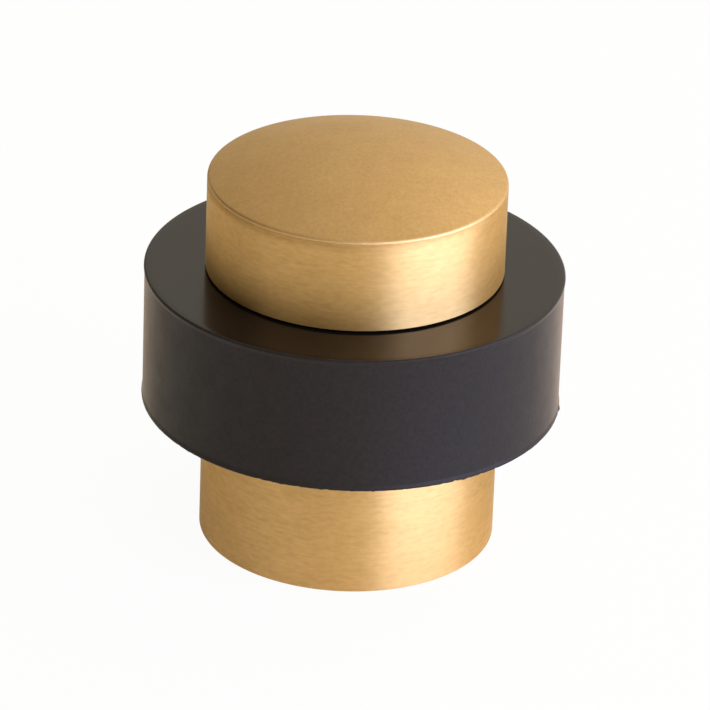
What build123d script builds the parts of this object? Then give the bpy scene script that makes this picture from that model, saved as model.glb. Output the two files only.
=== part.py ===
# Floor door stop: a turned brass base and a domed brass cap, with a thick rubber ring held between them.
# Millimetres, +Z up. The origin is the centre of the base's underside, on the floor.
import os
from math import radians, tan

from build123d import *

# Brass bar that the base and the cap are turned from
brass_diameter = 36.0
edge_break = 0.1

# Base: a cylinder that stands on the floor, with a narrower spigot up through the ring
base_height = 17.6
spigot_diameter = 22.0
spigot_edge_break = 0.5

# Rubber ring: its wall is straight, and the cut has flared its two outer edges
ring_diameter = 50.55
ring_thickness = 17.1
ring_bore_play = 0.1
ring_top_flare = 0.2
ring_bottom_flare = 0.15
ring_flare_height = 0.6

# Cap: seats on the spigot and stands a hair clear of the ring, which shows as a dark line
cap_gap = 0.25
cap_wall_height = 11.69
cap_dome_height = 3.0
cap_rim_break = 0.22

# M8 threads, drawn plain at their nominal size
thread_diameter = 8.0
thread_play = 0.1
thread_mouth_chamfer = 0.6
drill_point_angle = 118.0
floor_thread_depth = 13.0

# Stud: an M8 x 20 socket set screw that joins the cap to the base
stud_length_in_base = 12.0
stud_length_in_cap = 8.0
stud_end_room = 0.5
stud_end_chamfer = 0.8
stud_socket_across_flats = 4.0
stud_socket_depth = 4.0

# Radii and heights that follow from the sizes above
brass_radius = brass_diameter / 2
spigot_radius = spigot_diameter / 2
ring_radius = ring_diameter / 2
ring_bore_radius = spigot_radius + ring_bore_play
thread_radius = thread_diameter / 2
thread_mouth_radius = thread_radius + thread_mouth_chamfer
drill_point_height = thread_radius / tan(radians(drill_point_angle / 2))
stud_radius = thread_radius - thread_play
ring_bottom = base_height
ring_top = ring_bottom + ring_thickness
cap_bottom = ring_top + cap_gap
cap_rim = cap_bottom + cap_wall_height
cap_top = cap_rim + cap_dome_height
stud_bottom = cap_bottom - stud_length_in_base
stud_top = cap_bottom + stud_length_in_cap
cap_thread_end = stud_top + stud_end_room

# Base: one turned half section, from the floor thread's drill point round to the stud hole's
with BuildPart() as base:
    with BuildSketch(Plane.XZ):
        with BuildLine():
            Polyline(
                (0, floor_thread_depth + drill_point_height),
                (thread_radius, floor_thread_depth),
                (thread_radius, thread_mouth_chamfer),
                (thread_mouth_radius, 0),
                (brass_radius - edge_break, 0),
                (brass_radius, edge_break),
                (brass_radius, base_height - edge_break),
                (brass_radius - edge_break, base_height),
                (spigot_radius, base_height),
                (spigot_radius, cap_bottom - spigot_edge_break),
                (spigot_radius - spigot_edge_break, cap_bottom),
                (thread_mouth_radius, cap_bottom),
                (thread_radius, cap_bottom - thread_mouth_chamfer),
                (thread_radius, stud_bottom),
                (0, stud_bottom - drill_point_height),
                close=True,
            )
        make_face()
    revolve(axis=Axis.Z)

# Rubber ring: square section on the spigot, with a thin flare at the top and bottom outer edges
with BuildPart() as buffer_ring:
    with BuildSketch(Plane.XZ):
        with BuildLine():
            Polyline(
                (ring_bore_radius, ring_bottom),
                (ring_radius + ring_bottom_flare, ring_bottom),
                (ring_radius, ring_bottom + ring_flare_height),
                (ring_radius, ring_top - ring_flare_height),
                (ring_radius + ring_top_flare, ring_top),
                (ring_bore_radius, ring_top),
                close=True,
            )
        make_face()
    revolve(axis=Axis.Z)

# Cap: a turned half section with a spherical dome and a broken rim
with BuildPart() as domed_cap:
    with BuildSketch(Plane.XZ) as cap_section:
        with BuildLine():
            Polyline(
                (0, cap_top),
                (0, cap_thread_end + drill_point_height),
                (thread_radius, cap_thread_end),
                (thread_radius, cap_bottom + thread_mouth_chamfer),
                (thread_mouth_radius, cap_bottom),
                (brass_radius - edge_break, cap_bottom),
                (brass_radius, cap_bottom + edge_break),
                (brass_radius, cap_rim),
            )
            TangentArc((0, cap_top), (brass_radius, cap_rim), tangent=(1, 0))
        make_face()
        rim_corner = cap_section.vertices().group_by(Axis.X)[-1].sort_by(Axis.Y)[-1]
        chamfer(rim_corner, length=cap_rim_break)
    revolve(axis=Axis.Z)

# Stud: chamfered ends, and a hexagon socket in the end that faces the cap
with BuildPart() as joining_stud:
    with BuildSketch(Plane.XZ):
        with BuildLine():
            Polyline(
                (0, stud_bottom),
                (stud_radius - stud_end_chamfer, stud_bottom),
                (stud_radius, stud_bottom + stud_end_chamfer),
                (stud_radius, stud_top - stud_end_chamfer),
                (stud_radius - stud_end_chamfer, stud_top),
                (0, stud_top),
                close=True,
            )
        make_face()
    revolve(axis=Axis.Z)
    with BuildSketch(Plane.XY.offset(stud_top)):
        RegularPolygon(radius=stud_socket_across_flats / 2, side_count=6, major_radius=False)
    extrude(amount=-stud_socket_depth, mode=Mode.SUBTRACT)

base.part.label = "base"
buffer_ring.part.label = "buffer_ring"
domed_cap.part.label = "domed_cap"
joining_stud.part.label = "joining_stud"

os.makedirs("parts", exist_ok=True)
export_step(base.part, "parts/base.step")
export_step(buffer_ring.part, "parts/buffer_ring.step")
export_step(domed_cap.part, "parts/domed_cap.step")
export_step(joining_stud.part, "parts/joining_stud.step")
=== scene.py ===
import math
import random

import bpy
from mathutils import Matrix, Vector, noise


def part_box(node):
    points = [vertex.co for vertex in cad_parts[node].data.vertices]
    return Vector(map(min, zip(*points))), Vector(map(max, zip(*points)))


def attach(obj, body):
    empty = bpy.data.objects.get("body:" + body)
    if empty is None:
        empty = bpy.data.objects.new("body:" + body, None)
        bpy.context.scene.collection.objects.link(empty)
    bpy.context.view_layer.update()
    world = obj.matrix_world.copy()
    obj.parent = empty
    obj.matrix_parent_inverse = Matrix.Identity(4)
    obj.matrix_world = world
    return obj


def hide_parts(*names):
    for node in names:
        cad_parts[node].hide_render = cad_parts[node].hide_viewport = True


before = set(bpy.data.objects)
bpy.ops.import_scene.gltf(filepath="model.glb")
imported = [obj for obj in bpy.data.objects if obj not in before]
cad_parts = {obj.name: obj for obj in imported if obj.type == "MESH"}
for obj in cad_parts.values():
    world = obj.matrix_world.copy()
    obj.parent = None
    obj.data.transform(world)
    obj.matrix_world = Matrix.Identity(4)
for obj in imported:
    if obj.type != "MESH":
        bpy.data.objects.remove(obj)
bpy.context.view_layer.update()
mm = 0.001  # sizes are written in millimetres, unless a note says otherwise

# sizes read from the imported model
baseBox = [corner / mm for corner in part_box("base")]
ringBox = [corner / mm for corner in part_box("buffer_ring")]
capBox = [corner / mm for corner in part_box("domed_cap")]
studBox = [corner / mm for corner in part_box("joining_stud")]
brassRadius = baseBox[1].x
ringBottom = ringBox[0].z
ringTop = ringBox[1].z
capBottom = capBox[0].z
capTop = capBox[1].z
domeRise = 3.1  # 0.1 more than the solid's, so that the dome meets its rounded rim
capRim = capTop - domeRise
studRadius = studBox[1].x
print("frame loaded:", ", ".join(sorted(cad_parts)))


def hexToLinear(code):
    values = [int(code[i:i + 2], 16) / 255 for i in (1, 3, 5)]
    linear = [v / 12.92 if v <= 0.04045 else ((v + 0.055) / 1.055) ** 2.4 for v in values]
    return (*linear, 1.0)


def addNode(tree, kind, inputs=None, **settings):
    node = tree.nodes.new(kind)
    for name, value in settings.items():
        setattr(node, name, value)
    for socket, value in (inputs or {}).items():
        if isinstance(value, bpy.types.NodeSocket):
            tree.links.new(value, node.inputs[socket])
        else:
            node.inputs[socket].default_value = value
    return node


def newMaterial(name):
    material = bpy.data.materials.new(name)
    material.use_nodes = True
    material.node_tree.nodes.clear()
    return material, material.node_tree


def smoothStep(low, high, value):
    t = min(max((value - low) / (high - low), 0.0), 1.0)
    return t * t * (3 - 2 * t)


def softenCorners(points, steps=4):
    # points are (radius, height, corner radius, finish); a corner radius turns the corner into an arc
    rows = []
    for i, (r, z, bend, finish) in enumerate(points):
        if bend == 0:
            rows.append((r, z, finish))
            continue
        here = Vector((r, z))
        toLast = (Vector(points[i - 1][:2]) - here).normalized()
        toNext = (Vector(points[(i + 1) % len(points)][:2]) - here).normalized()
        half = toLast.angle(toNext) / 2
        reach = bend / math.tan(half)
        centre = here + (toLast + toNext).normalized() * (bend / math.sin(half))
        first = here + toLast * reach - centre
        last = here + toNext * reach - centre
        for k in range(steps + 1):
            spoke = first.lerp(last, k / steps).normalized() * bend
            rows.append((centre.x + spoke.x, centre.y + spoke.y, finish))
    return rows


sharpTurn = math.radians(28)  # corners that turn more than this stay crisp


def spinMesh(name, rows, segments, finishes, shape=None, closed=False):
    # rows are (radius, height, finish) in millimetres, spun round Z; shape bends a row at an angle
    points, rings, faces, faceFinish = [], [], [], []
    for index, (r, z, finish) in enumerate(rows):
        if r == 0:
            rings.append([len(points)])
            points.append((0, 0, z * mm))
            continue
        ring = []
        for k in range(segments):
            angle = 2 * math.pi * k / segments
            pr, pz = shape(index, angle, r, z) if shape else (r, z)
            ring.append(len(points))
            points.append((pr * math.cos(angle) * mm, pr * math.sin(angle) * mm, pz * mm))
        rings.append(ring)
    pairs = list(zip(range(len(rings) - 1), range(1, len(rings))))
    if closed:
        pairs.append((len(rings) - 1, 0))
    for a, b in pairs:
        for k in range(segments):
            n = (k + 1) % segments
            corners = [rings[a][k % len(rings[a])], rings[a][n % len(rings[a])]]
            corners += [rings[b][n % len(rings[b])], rings[b][k % len(rings[b])]]
            faces.append(list(dict.fromkeys(corners)))
            faceFinish.append(finishes.index(rows[a][2]))
    mesh = bpy.data.meshes.new(name)
    mesh.from_pydata(points, [], faces)
    for finish in finishes:
        mesh.materials.append(materials[finish])
    mesh.polygons.foreach_set("material_index", faceFinish)
    mesh.polygons.foreach_set("use_smooth", [True] * len(faces))
    mesh.set_sharp_from_angle(angle=sharpTurn)
    mesh.validate()
    piece = bpy.data.objects.new(name, mesh)
    bpy.context.scene.collection.objects.link(piece)
    return piece


def standFor(piece, node):
    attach(piece, "root")
    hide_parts(node)
    print(piece.name, "stands for", node, "with", len(piece.data.polygons), "faces")


# brass, satin brushed on the lathe: hair lines run round the axis and draw each light into an upright band
brassWall = {
    "tone": "#DFB475", "toneDark": "#CEA366", "glancing": "#EDE3D4",
    "strokes": (1.2, 0.45),  # mm long and wide, drawn coarser than the real 0.05 so that they show
    "hairs": (6.0, 0.3),  # longer and fainter
    "blotch": (5.0, 2.5),
    "roughness": (0.44, 0.48),
    "fade": (1.5, 0.28),  # mm below the cap's rim where the pad lifts off, and how much duller that is
    "anisotropy": 0.76,
    "bump": 0.05,
}

# what the brass finishes share: how their marks add up, and how deep they are cut
brassGrain = {
    "hairShare": 0.5, "blotchShare": 0.5, "range": (0.7, 1.3), "detail": 3.0, "detailFade": 0.55,
    "depth": 0.05,
    "across": 0.25,  # of a turn, so that lights spread across the lines
}


def turnedBrass(name, looks):
    material, tree = newMaterial(name)
    place = addNode(tree, "ShaderNodeTexCoord").outputs["Object"]
    height = addNode(tree, "ShaderNodeSeparateXYZ", {0: place}).outputs["Z"]
    along = place
    if "rings" in looks:
        flat = addNode(tree, "ShaderNodeVectorMath", {0: place, 1: (1, 1, 0)}, operation="MULTIPLY")
        radius = addNode(tree, "ShaderNodeVectorMath", {0: flat.outputs[0]}, operation="LENGTH")
        along = addNode(tree, "ShaderNodeCombineXYZ", {
            "X": radius.outputs["Value"], "Z": height,
        }).outputs[0]
    marks = {}
    for mark in ("strokes", "hairs", "blotch"):
        length, width = looks[mark]
        stretched = addNode(tree, "ShaderNodeVectorMath", {
            0: along, 1: [1 / (size * mm) for size in (length, length, width)],
        }, operation="MULTIPLY")
        marks[mark] = addNode(tree, "ShaderNodeTexNoise", {
            "Vector": stretched.outputs[0], "Scale": 1.0,
            "Detail": brassGrain["detail"], "Roughness": brassGrain["detailFade"],
        })
    fine = addNode(tree, "ShaderNodeMath", {
        0: marks["hairs"].outputs["Fac"], 1: brassGrain["hairShare"], 2: marks["strokes"].outputs["Fac"],
    }, operation="MULTIPLY_ADD")
    grain = addNode(tree, "ShaderNodeMath", {
        0: marks["blotch"].outputs["Fac"], 1: brassGrain["blotchShare"], 2: fine.outputs[0],
    }, operation="MULTIPLY_ADD")
    faint, strong = brassGrain["range"]
    shade = addNode(tree, "ShaderNodeMapRange", {
        "Value": grain.outputs[0], "From Min": faint, "From Max": strong,
    })
    colour = addNode(tree, "ShaderNodeMix", {
        "Factor": shade.outputs["Result"],
        "A": hexToLinear(looks["tone"]), "B": hexToLinear(looks["toneDark"]),
    }, data_type="RGBA")
    rough = addNode(tree, "ShaderNodeMapRange", {
        "Value": grain.outputs[0], "From Min": faint, "From Max": strong,
        "To Min": looks["roughness"][0], "To Max": looks["roughness"][1],
    })
    roughness = rough.outputs["Result"]
    if "fade" in looks:
        fadeLength, fadeRoughness = looks["fade"]
        duller = addNode(tree, "ShaderNodeMapRange", {
            "Value": height, "From Min": (capRim - fadeLength) * mm, "From Max": capRim * mm,
            "To Max": fadeRoughness,
        })
        roughness = addNode(tree, "ShaderNodeMath", {
            0: roughness, 1: duller.outputs["Result"],
        }, operation="ADD").outputs[0]
    relief = addNode(tree, "ShaderNodeBump", {
        "Height": fine.outputs[0], "Strength": looks["bump"], "Distance": brassGrain["depth"] * mm,
    })
    around = addNode(tree, "ShaderNodeTangent", direction_type="RADIAL", axis="Z")
    shader = addNode(tree, "ShaderNodeBsdfPrincipled", {
        "Base Color": colour.outputs["Result"], "Metallic": 1.0,
        "Roughness": roughness, "Normal": relief.outputs["Normal"],
        "Specular Tint": hexToLinear(looks.get("glancing", "#FFFFFF")),
        "Anisotropic": looks["anisotropy"], "Anisotropic Rotation": brassGrain["across"],
        "Tangent": around.outputs["Tangent"],
    })
    addNode(tree, "ShaderNodeOutputMaterial", {"Surface": shader.outputs["BSDF"]})
    return material


# brass dome, satin blasted: an even fine grain with no direction, so lights melt into a slow gradient
brassDome = {
    "tone": "#D6AE77", "toneDark": "#C8A069",
    "strokes": (0.36, 0.36),  # mm, drawn coarser than the real 0.06 so that it shows
    "hairs": (0.7, 0.7),
    "blotch": (4.0, 4.0),
    "roughness": (0.48, 0.54),
    "anisotropy": 0.0,
    "bump": 0.07,
}

# brass faces and holes left bright by the turning tool: smoother, with fine rings round the axis
brassCut = {
    "tone": "#DBB279", "toneDark": "#CDA46B", "rings": True,
    "strokes": (0.25, 0.25),  # mm from ring to ring, drawn coarser than the real 0.1 so that they show
    "hairs": (0.7, 0.7),
    "blotch": (3.5, 3.5),
    "roughness": (0.2, 0.3),
    "anisotropy": 0.4,
    "bump": 0.06,
}

# natural rubber, vulcanised black and knife cut: dull satin, with a warm bloom at a glancing angle
rubberCut = {
    "bloom": "#FFE4D6", "bloomRoughness": 0.3, "ior": 1.52,
    "mottle": 2.5, "mottleDetail": 3.0, "mottleRange": (0.3, 0.7),
    "pores": 0.5, "poreDetail": 2.0, "poreDepth": 0.05,
}
rubberWall = {
    "tone": "#0E0B09", "toneGrey": "#241E1B", "tint": "#FFF0E6",
    "roughness": (0.48, 0.58), "specular": 0.23, "bloom": 0.7, "bump": 0.3,
}
rubberFace = {
    "tone": "#0B0807", "toneGrey": "#1A1615", "tint": "#FFECF2",
    "roughness": (0.16, 0.2), "specular": 0.34, "bloom": 0.0, "bump": 0.12,
}


def cutRubber(name, looks, face):
    material, tree = newMaterial(name)
    place = addNode(tree, "ShaderNodeTexCoord")
    mottle = addNode(tree, "ShaderNodeTexNoise", {
        "Vector": place.outputs["Object"], "Scale": 1 / (looks["mottle"] * mm),
        "Detail": looks["mottleDetail"],
    })
    pores = addNode(tree, "ShaderNodeTexNoise", {
        "Vector": place.outputs["Object"], "Scale": 1 / (looks["pores"] * mm),
        "Detail": looks["poreDetail"],
    })
    colour = addNode(tree, "ShaderNodeMix", {
        "Factor": pores.outputs["Fac"],
        "A": hexToLinear(face["tone"]), "B": hexToLinear(face["toneGrey"]),
    }, data_type="RGBA")
    faint, strong = looks["mottleRange"]
    rough = addNode(tree, "ShaderNodeMapRange", {
        "Value": mottle.outputs["Fac"], "From Min": faint, "From Max": strong,
        "To Min": face["roughness"][0], "To Max": face["roughness"][1],
    })
    relief = addNode(tree, "ShaderNodeBump", {
        "Height": pores.outputs["Fac"], "Strength": face["bump"], "Distance": looks["poreDepth"] * mm,
    })
    shader = addNode(tree, "ShaderNodeBsdfPrincipled", {
        "Base Color": colour.outputs["Result"], "Roughness": rough.outputs["Result"],
        "IOR": looks["ior"], "Specular IOR Level": face["specular"], "Normal": relief.outputs["Normal"],
        "Specular Tint": hexToLinear(face["tint"]),
        "Sheen Weight": face["bloom"], "Sheen Roughness": looks["bloomRoughness"],
        "Sheen Tint": hexToLinear(looks["bloom"]),
    })
    addNode(tree, "ShaderNodeOutputMaterial", {"Surface": shader.outputs["BSDF"]})
    return material


# steel, zinc plated: pale blue-grey with a fine crystalline bloom
steelPlated = {
    "tone": "#B9BDC2", "toneDark": "#9A9FA6",
    "bloom": 0.6, "bloomDetail": 5.0, "roughness": (0.28, 0.42),
}


def platedSteel(name, looks):
    material, tree = newMaterial(name)
    place = addNode(tree, "ShaderNodeTexCoord")
    bloom = addNode(tree, "ShaderNodeTexNoise", {
        "Vector": place.outputs["Object"], "Scale": 1 / (looks["bloom"] * mm),
        "Detail": looks["bloomDetail"],
    })
    colour = addNode(tree, "ShaderNodeMix", {
        "Factor": bloom.outputs["Fac"],
        "A": hexToLinear(looks["tone"]), "B": hexToLinear(looks["toneDark"]),
    }, data_type="RGBA")
    rough = addNode(tree, "ShaderNodeMapRange", {
        "Value": bloom.outputs["Fac"], "To Min": looks["roughness"][0], "To Max": looks["roughness"][1],
    })
    shader = addNode(tree, "ShaderNodeBsdfPrincipled", {
        "Base Color": colour.outputs["Result"], "Metallic": 1.0, "Roughness": rough.outputs["Result"],
    })
    addNode(tree, "ShaderNodeOutputMaterial", {"Surface": shader.outputs["BSDF"]})
    return material


materials = {
    "wall": turnedBrass("brassSatinBrushed", brassWall),
    "dome": turnedBrass("brassSatinBlasted", brassDome),
    "cut": turnedBrass("brassTurnedBright", brassCut),
    "rubberWall": cutRubber("rubberKnifeCutWall", rubberCut, rubberWall),
    "rubberFace": cutRubber("rubberKnifeCutFace", rubberCut, rubberFace),
    "steel": platedSteel("steelZincPlated", steelPlated),
}
print("materials made:", ", ".join(sorted(material.name for material in materials.values())))

# M8 coarse thread; crest and root are shares of the pitch, drillPoint is in degrees
thread = {
    "major": 4.0, "minor": 3.36, "pitch": 1.25, "crest": 0.25, "root": 0.125,
    "mouth": 4.6, "drillPoint": 118.0, "rowsPerTurn": 12,
}
drillSlope = math.tan(math.radians(thread["drillPoint"] / 2))


def threadRadius(angle, z):
    # sharp V with a flat crest and root, one pitch for each turn
    phase = (z / thread["pitch"] - angle / (2 * math.pi)) % 1.0
    crest, root = thread["crest"], thread["root"]
    flank = (1 - crest - root) / 2
    if phase < crest:
        depth = 0.0
    elif phase < crest + flank:
        depth = (phase - crest) / flank
    elif phase < crest + flank + root:
        depth = 1.0
    else:
        depth = (1.0 - phase) / flank
    return thread["minor"] + (thread["major"] - thread["minor"]) * depth


# base: half section from the floor thread's drill point round to the stud hole's
baseSettings = {
    "segments": 256, "edgeRound": 0.1, "spigotRadius": 11.0, "spigotRound": 0.5,
    "threadDepth": 12.2, "holeDepth": 13.0,
}


def makeBase(sizes):
    depth = sizes["holeDepth"]
    count = round(depth / thread["pitch"] * thread["rowsPerTurn"])
    step = depth / count
    holeRows = [(0, depth + thread["minor"] / drillSlope, "cut"), (thread["minor"], depth, "cut")]
    holeRows += [(thread["minor"], depth - step * k, "cut") for k in range(1, count + 1)]
    outline = softenCorners([
        (thread["mouth"], 0.0, 0.0, "cut"),  # the hole's last row is here too, so this one is dropped below
        (brassRadius, 0.0, sizes["edgeRound"], "wall"),
        (brassRadius, ringBottom, sizes["edgeRound"], "cut"),
        (sizes["spigotRadius"], ringBottom, 0.0, "cut"),
        (sizes["spigotRadius"], capBottom, sizes["spigotRound"], "cut"),
        (thread["mouth"], capBottom, 0.0, "cut"),
        (thread["major"], capBottom - (thread["mouth"] - thread["major"]), 0.0, "cut"),
        (thread["major"], studBox[0].z, 0.0, "cut"),
        (0, studBox[0].z - thread["major"] / drillSlope, 0.0, "cut"),
    ])
    rows = holeRows + outline[1:]

    def cutThread(index, angle, r, z):
        if index == 0 or index > count + 1:
            return r, z
        fade = 1 - smoothStep(sizes["threadDepth"] - thread["pitch"], sizes["threadDepth"], z)
        threaded = thread["minor"] + (threadRadius(angle, z) - thread["minor"]) * fade
        return max(threaded, thread["mouth"] - z), z

    piece = spinMesh("turnedBase", rows, sizes["segments"], ["wall", "cut"], cutThread)
    standFor(piece, "base")


# ring: square section, both outer edges flared by the cut; the knife left the lower one nicked and ragged
ringSettings = {
    "segments": 1600, "boreRadius": 11.1, "flareHeight": 0.75, "edgeSteps": 6,
    "wallInset": 0.2,  # from the solid's flared edge in to its straight wall
    "topFlare": 0.09, "topRound": 0.24, "bottomFlare": 0.12, "bottomRound": 0.07,
    "ragged": 0.03, "raggedSpacing": 0.7, "raggedFine": (3, 0.5),  # times finer, and its share
    "outPerLift": 0.5,  # how far out the cut edge goes for each millimetre up
    "edgeReach": 1.0,  # from the wall in to where the nicks end
    "nicks": 60, "nickLift": (0.04, 0.12), "nickWidth": (0.15, 0.5), "seed": 11,
    "frontNicks": [  # degrees right of the front, width mm, lift mm
        (-24.2, 0.5, 0.1), (-18.0, 0.4, -0.1), (-13.2, 0.3, 0.08), (30.0, 0.5, 0.16), (32.9, 0.5, -0.13),
    ],
    "burr": (85.0, 1.1, 0.16),  # degrees right of the front, width mm, how far out mm
}


def makeRing(sizes):
    draw = random.Random(sizes["seed"])
    front = -math.pi / 2  # the camera's side
    nicks = [(front + math.radians(turn), width, lift) for turn, width, lift in sizes["frontNicks"]]
    for k in range(sizes["nicks"]):
        lift = draw.choice((-1, 1)) * draw.uniform(*sizes["nickLift"])
        nicks.append((draw.uniform(0, 2 * math.pi), draw.uniform(*sizes["nickWidth"]), lift))
    burrTurn, burrWidth, burrOut = sizes["burr"]
    finer, fineShare = sizes["raggedFine"]
    wall = ringBox[1].x - sizes["wallInset"]
    steps = sizes["edgeSteps"]

    def edgeRows(flare, bend):
        # from the flat face round the cut edge to the straight wall: radius, and distance from the face
        rows = []
        for k in range(steps + 1):
            turn = math.pi / 2 * k / steps
            rows.append((wall + flare - bend * (1 - math.sin(turn)), bend * (1 - math.cos(turn))))
        for k in range(1, steps + 1):
            t = k / steps
            away = bend + (sizes["flareHeight"] - bend) * t
            rows.append((wall + flare * (1 - smoothStep(0, 1, t)), away))
        return rows

    # two rows inside the edge, so that the nicks don't streak the flat face
    inset = [wall - sizes["edgeReach"] * k for k in (2, 1)]
    rows = [(r, ringBottom, "rubberFace") for r in (sizes["boreRadius"], *inset)]
    lowEdge = len(rows)
    for r, away in edgeRows(sizes["bottomFlare"], sizes["bottomRound"]):
        rows.append((r, ringBottom + away, "rubberWall"))
    lowWall = len(rows)
    for r, away in reversed(edgeRows(sizes["topFlare"], sizes["topRound"])):
        rows.append((r, ringTop - away, "rubberWall" if away > 0 else "rubberFace"))
    rows += [(r, ringTop, "rubberFace") for r in (inset[1], sizes["boreRadius"])]

    def bump(angle, centre, width):
        # 1 at the centre, and none from one width away
        away = math.remainder(angle - centre, 2 * math.pi) * wall / width
        return (1 - away * away) ** 2 if abs(away) < 1 else 0.0

    def cutEdge(index, angle, r, z):
        if not lowEdge <= index < lowWall:
            return r, z
        # full at the cut, none where the wall is straight
        share = (1 - (z - ringBottom) / sizes["flareHeight"]) ** 3
        spot = Vector((math.cos(angle), math.sin(angle), 0)) * (wall / sizes["raggedSpacing"])
        lift = sizes["ragged"] * (noise.noise(spot) + fineShare * noise.noise(spot * finer))
        lift += sum(height * bump(angle, centre, width) for centre, width, height in nicks)
        out = burrOut * bump(angle, front + math.radians(burrTurn), burrWidth)
        return r + (sizes["outPerLift"] * lift + out) * share, z + lift * share

    finishes = ["rubberWall", "rubberFace"]
    piece = spinMesh("rubberRing", rows, sizes["segments"], finishes, cutEdge, closed=True)
    standFor(piece, "buffer_ring")


# cap: half section from the stud hole round to the dome
capSettings = {
    "segments": 256, "edgeRound": 0.08, "domeSteps": 24,
    "rimRound": 0.42, "rimSteps": 8, "holeRoom": 0.5,
}


def makeCap(sizes):
    sphere = (brassRadius ** 2 + domeRise ** 2) / (2 * domeRise)
    domeEdge = brassRadius - sizes["rimRound"]
    holeTop = studBox[1].z + sizes["holeRoom"]

    def domeAt(r):
        return capTop - sphere + math.sqrt(sphere ** 2 - r ** 2)

    section = [
        (0, holeTop + thread["major"] / drillSlope, 0.0, "cut"),
        (thread["major"], holeTop, 0.0, "cut"),
        (thread["major"], capBottom + thread["mouth"] - thread["major"], 0.0, "cut"),
        (thread["mouth"], capBottom, 0.0, "cut"),
        (brassRadius, capBottom, sizes["edgeRound"], "wall"),
        (brassRadius, capRim, sizes["rimRound"], "dome"),
        (domeEdge, domeAt(domeEdge), 0.0, "dome"),
    ]
    rows = softenCorners(section, steps=sizes["rimSteps"])
    for k in range(1, sizes["domeSteps"]):
        r = domeEdge * (1 - k / sizes["domeSteps"])
        rows.append((r, domeAt(r), "dome"))
    rows.append((0, capTop, "dome"))
    piece = spinMesh("turnedCap", rows, sizes["segments"], ["wall", "cut", "dome"])
    standFor(piece, "domed_cap")


# stud: threaded set screw with a hexagon socket, inside the cap and the base
studSettings = {
    "segments": 96, "chamfer": 0.8, "acrossFlats": 4.0, "socketDepth": 4.0, "socketPoint": 0.6,
}


def makeStud(sizes):
    low, high = studBox[0].z, studBox[1].z
    count = round((high - low) / thread["pitch"] * thread["rowsPerTurn"])
    rows = [(0, low, "steel")]
    rows += [(studRadius, low + (high - low) * k / count, "steel") for k in range(count + 1)]
    socketRadius = sizes["acrossFlats"] / 2
    socketEnd = high - sizes["socketDepth"]
    rows += [(socketRadius, high, "steel"), (socketRadius, socketEnd, "steel")]
    rows.append((0, socketEnd - sizes["socketPoint"], "steel"))

    def cutScrew(index, angle, r, z):
        if index > count + 1:
            flat = math.remainder(angle, math.pi / 3)  # six flats
            return r / math.cos(flat), z
        end = studRadius - sizes["chamfer"] + min(z - low, high - z)
        return min(threadRadius(angle, z) + studRadius - thread["major"], end), z

    piece = spinMesh("joiningStud", rows, sizes["segments"], ["steel"], cutScrew)
    standFor(piece, "joining_stud")


makeBase(baseSettings)
makeRing(ringSettings)
makeCap(capSettings)
makeStud(studSettings)

# stage: a white sweep, a room that is brighter on the right, and a low wide window lamp at the front right
stage = {
    "floorTone": "#F8F4E8", "floorRoughness": 0.9, "floorGloss": 0.1,
    "floorSize": 8.0,  # m
    "floorGlow": 0.95,  # share of plain white for the camera; the rest keeps the shadow
    "floorGlowInMetal": 0.3,
    "floorLevel": 1.07, "floorLean": (0.1, -0.42, 0.0),  # in the metal, brighter in front than behind
    "roomTone": "#FFFAE4", "roomLevel": 0.74, "roomLean": (0.74, 0.07, 0.0),
    "lamps": [  # name, degrees right of the camera, elevation, distance m, width m, height m, watts, tone
        ("windowLamp", 59, 5, 0.9, 1.16, 0.3, 19.2, "#AEC4FF"),
        ("highLamp", 62, 30, 1.0, 1.0, 0.35, 2.4, "#C8D8FF"),
        ("rimFill", 280, 50, 1.1, 0.5, 0.5, 0.25, "#FFF4E0"),
        ("backPanel", 140, 40, 1.1, 0.9, 0.7, 0.85, "#FFFDF8"),
        ("frontFill", 306, 15, 1.1, 0.7, 0.5, 0.5, "#FFFDF8"),
    ],
}


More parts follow.
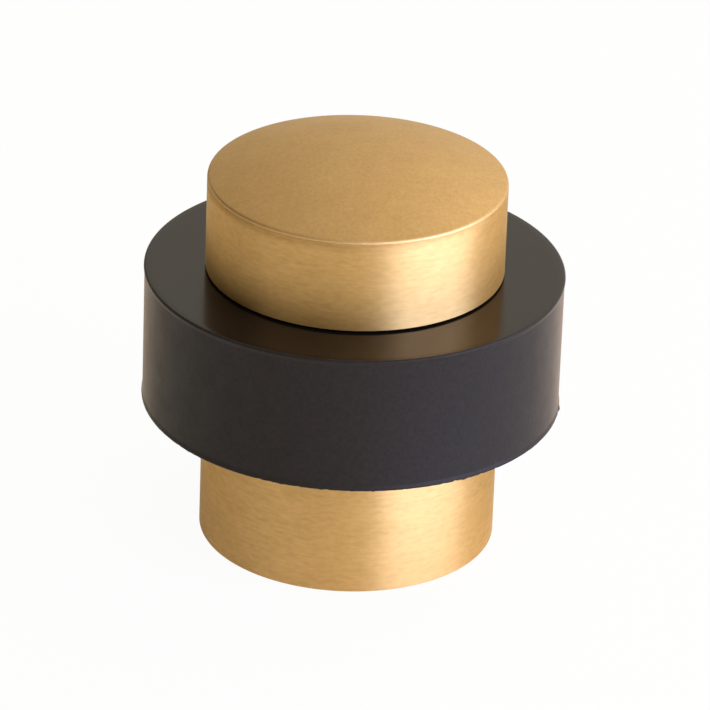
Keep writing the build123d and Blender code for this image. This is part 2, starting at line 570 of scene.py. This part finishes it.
def makeFloor(looks):
    half = looks["floorSize"] / 2
    mesh = bpy.data.meshes.new("floor")
    corners = [(-half, -half, 0), (half, -half, 0), (half, half, 0), (-half, half, 0)]
    mesh.from_pydata(corners, [], [(0, 1, 2, 3)])
    material, tree = newMaterial("paperWhiteSweep")
    paper = addNode(tree, "ShaderNodeBsdfPrincipled", {
        "Base Color": hexToLinear(looks["floorTone"]),
        "Roughness": looks["floorRoughness"], "Specular IOR Level": looks["floorGloss"],
    })
    path = addNode(tree, "ShaderNodeLightPath")
    place = addNode(tree, "ShaderNodeTexCoord")
    outward = addNode(tree, "ShaderNodeVectorMath", {0: place.outputs["Object"]}, operation="NORMALIZE")
    lean = addNode(tree, "ShaderNodeVectorMath", {
        0: outward.outputs[0], 1: looks["floorLean"],
    }, operation="DOT_PRODUCT")
    level = addNode(tree, "ShaderNodeMath", {
        0: lean.outputs["Value"], 1: looks["floorLevel"],
    }, operation="ADD")
    strength = addNode(tree, "ShaderNodeMix", {
        "Factor": path.outputs["Is Camera Ray"], "A": level.outputs[0], "B": 1.0,
    })
    glow = addNode(tree, "ShaderNodeEmission", {"Strength": strength.outputs["Result"]})
    mirrored = addNode(tree, "ShaderNodeMath", {
        0: path.outputs["Is Glossy Ray"], 1: path.outputs["Is Transmission Ray"],
    }, operation="MAXIMUM")
    inMetal = addNode(tree, "ShaderNodeMath", {
        0: mirrored.outputs[0], 1: looks["floorGlowInMetal"],
    }, operation="MULTIPLY")
    share = addNode(tree, "ShaderNodeMath", {
        0: path.outputs["Is Camera Ray"], 1: looks["floorGlow"], 2: inMetal.outputs[0],
    }, operation="MULTIPLY_ADD")
    sweep = addNode(tree, "ShaderNodeMixShader", {
        0: share.outputs[0], 1: paper.outputs["BSDF"], 2: glow.outputs["Emission"],
    })
    addNode(tree, "ShaderNodeOutputMaterial", {"Surface": sweep.outputs["Shader"]})
    mesh.materials.append(material)
    floor = bpy.data.objects.new("floor", mesh)
    bpy.context.scene.collection.objects.link(floor)


def makeRoom(looks):
    world = bpy.data.worlds.new("studio")
    world.use_nodes = True
    tree = world.node_tree
    tree.nodes.clear()
    place = addNode(tree, "ShaderNodeTexCoord")
    lean = addNode(tree, "ShaderNodeVectorMath", {
        0: place.outputs["Generated"], 1: looks["roomLean"],
    }, operation="DOT_PRODUCT")
    level = addNode(tree, "ShaderNodeMath", {
        0: lean.outputs["Value"], 1: looks["roomLevel"],
    }, operation="ADD")
    room = addNode(tree, "ShaderNodeBackground", {
        "Color": hexToLinear(looks["roomTone"]), "Strength": level.outputs[0],
    })
    white = addNode(tree, "ShaderNodeBackground", {"Color": (1, 1, 1, 1), "Strength": 1.0})
    path = addNode(tree, "ShaderNodeLightPath")
    sky = addNode(tree, "ShaderNodeMixShader", {
        0: path.outputs["Is Camera Ray"], 1: room.outputs["Background"], 2: white.outputs["Background"],
    })
    addNode(tree, "ShaderNodeOutputWorld", {"Surface": sky.outputs["Shader"]})
    bpy.context.scene.world = world


def makeLamps(looks):
    aim = Vector((0, 0, capTop * mm / 2))
    for name, azimuth, elevation, distance, width, height, watts, tone in looks["lamps"]:
        turn, lift = math.radians(azimuth), math.radians(elevation)
        way = Vector((math.sin(turn) * math.cos(lift), -math.cos(turn) * math.cos(lift), math.sin(lift)))
        data = bpy.data.lights.new(name, "AREA")
        data.shape = "RECTANGLE"
        data.size, data.size_y, data.energy = width, height, watts
        data.color = hexToLinear(tone)[:3]
        lamp = bpy.data.objects.new(name, data)
        lamp.location = aim + way * distance
        lamp.rotation_euler = way.to_track_quat("Z", "Y").to_euler()
        bpy.context.scene.collection.objects.link(lamp)


makeFloor(stage)
makeRoom(stage)
makeLamps(stage)
print("stage lit by", len(stage["lamps"]), "lamps")

# camera: fitted to the photo's ellipses, with angles in degrees; the roll is the photo's own lean
view = {
    "elevation": 26.747, "distance": 706.7, "target": 22.21, "roll": 2.06, "pan": -0.032, "tilt": -0.042,
    "lens": 295.8, "sensor": 36.0,
    "clip": (0.01, 50),  # m
}


def makeCamera(shot):
    lift = math.radians(shot["elevation"])
    forward = Vector((0, math.cos(lift), -math.sin(lift)))
    right = Vector((1, 0, 0))
    rows = Matrix((right, forward.cross(right), forward))
    for axis, key in (("Y", "pan"), ("X", "tilt"), ("Z", "roll")):
        rows = Matrix.Rotation(math.radians(shot[key]), 3, axis) @ rows
    pose = Matrix((rows[0], -rows[1], -rows[2])).transposed().to_4x4()
    pose.translation = (Vector((0, 0, shot["target"])) - forward * shot["distance"]) * mm
    data = bpy.data.cameras.new("camera")
    data.lens, data.sensor_width = shot["lens"], shot["sensor"]
    data.clip_start, data.clip_end = shot["clip"]
    camera = bpy.data.objects.new("camera", data)
    camera.matrix_world = pose
    bpy.context.scene.collection.objects.link(camera)
    bpy.context.scene.camera = camera


makeCamera(view)
bpy.context.scene.view_settings.view_transform = "Standard"
print("camera ready")
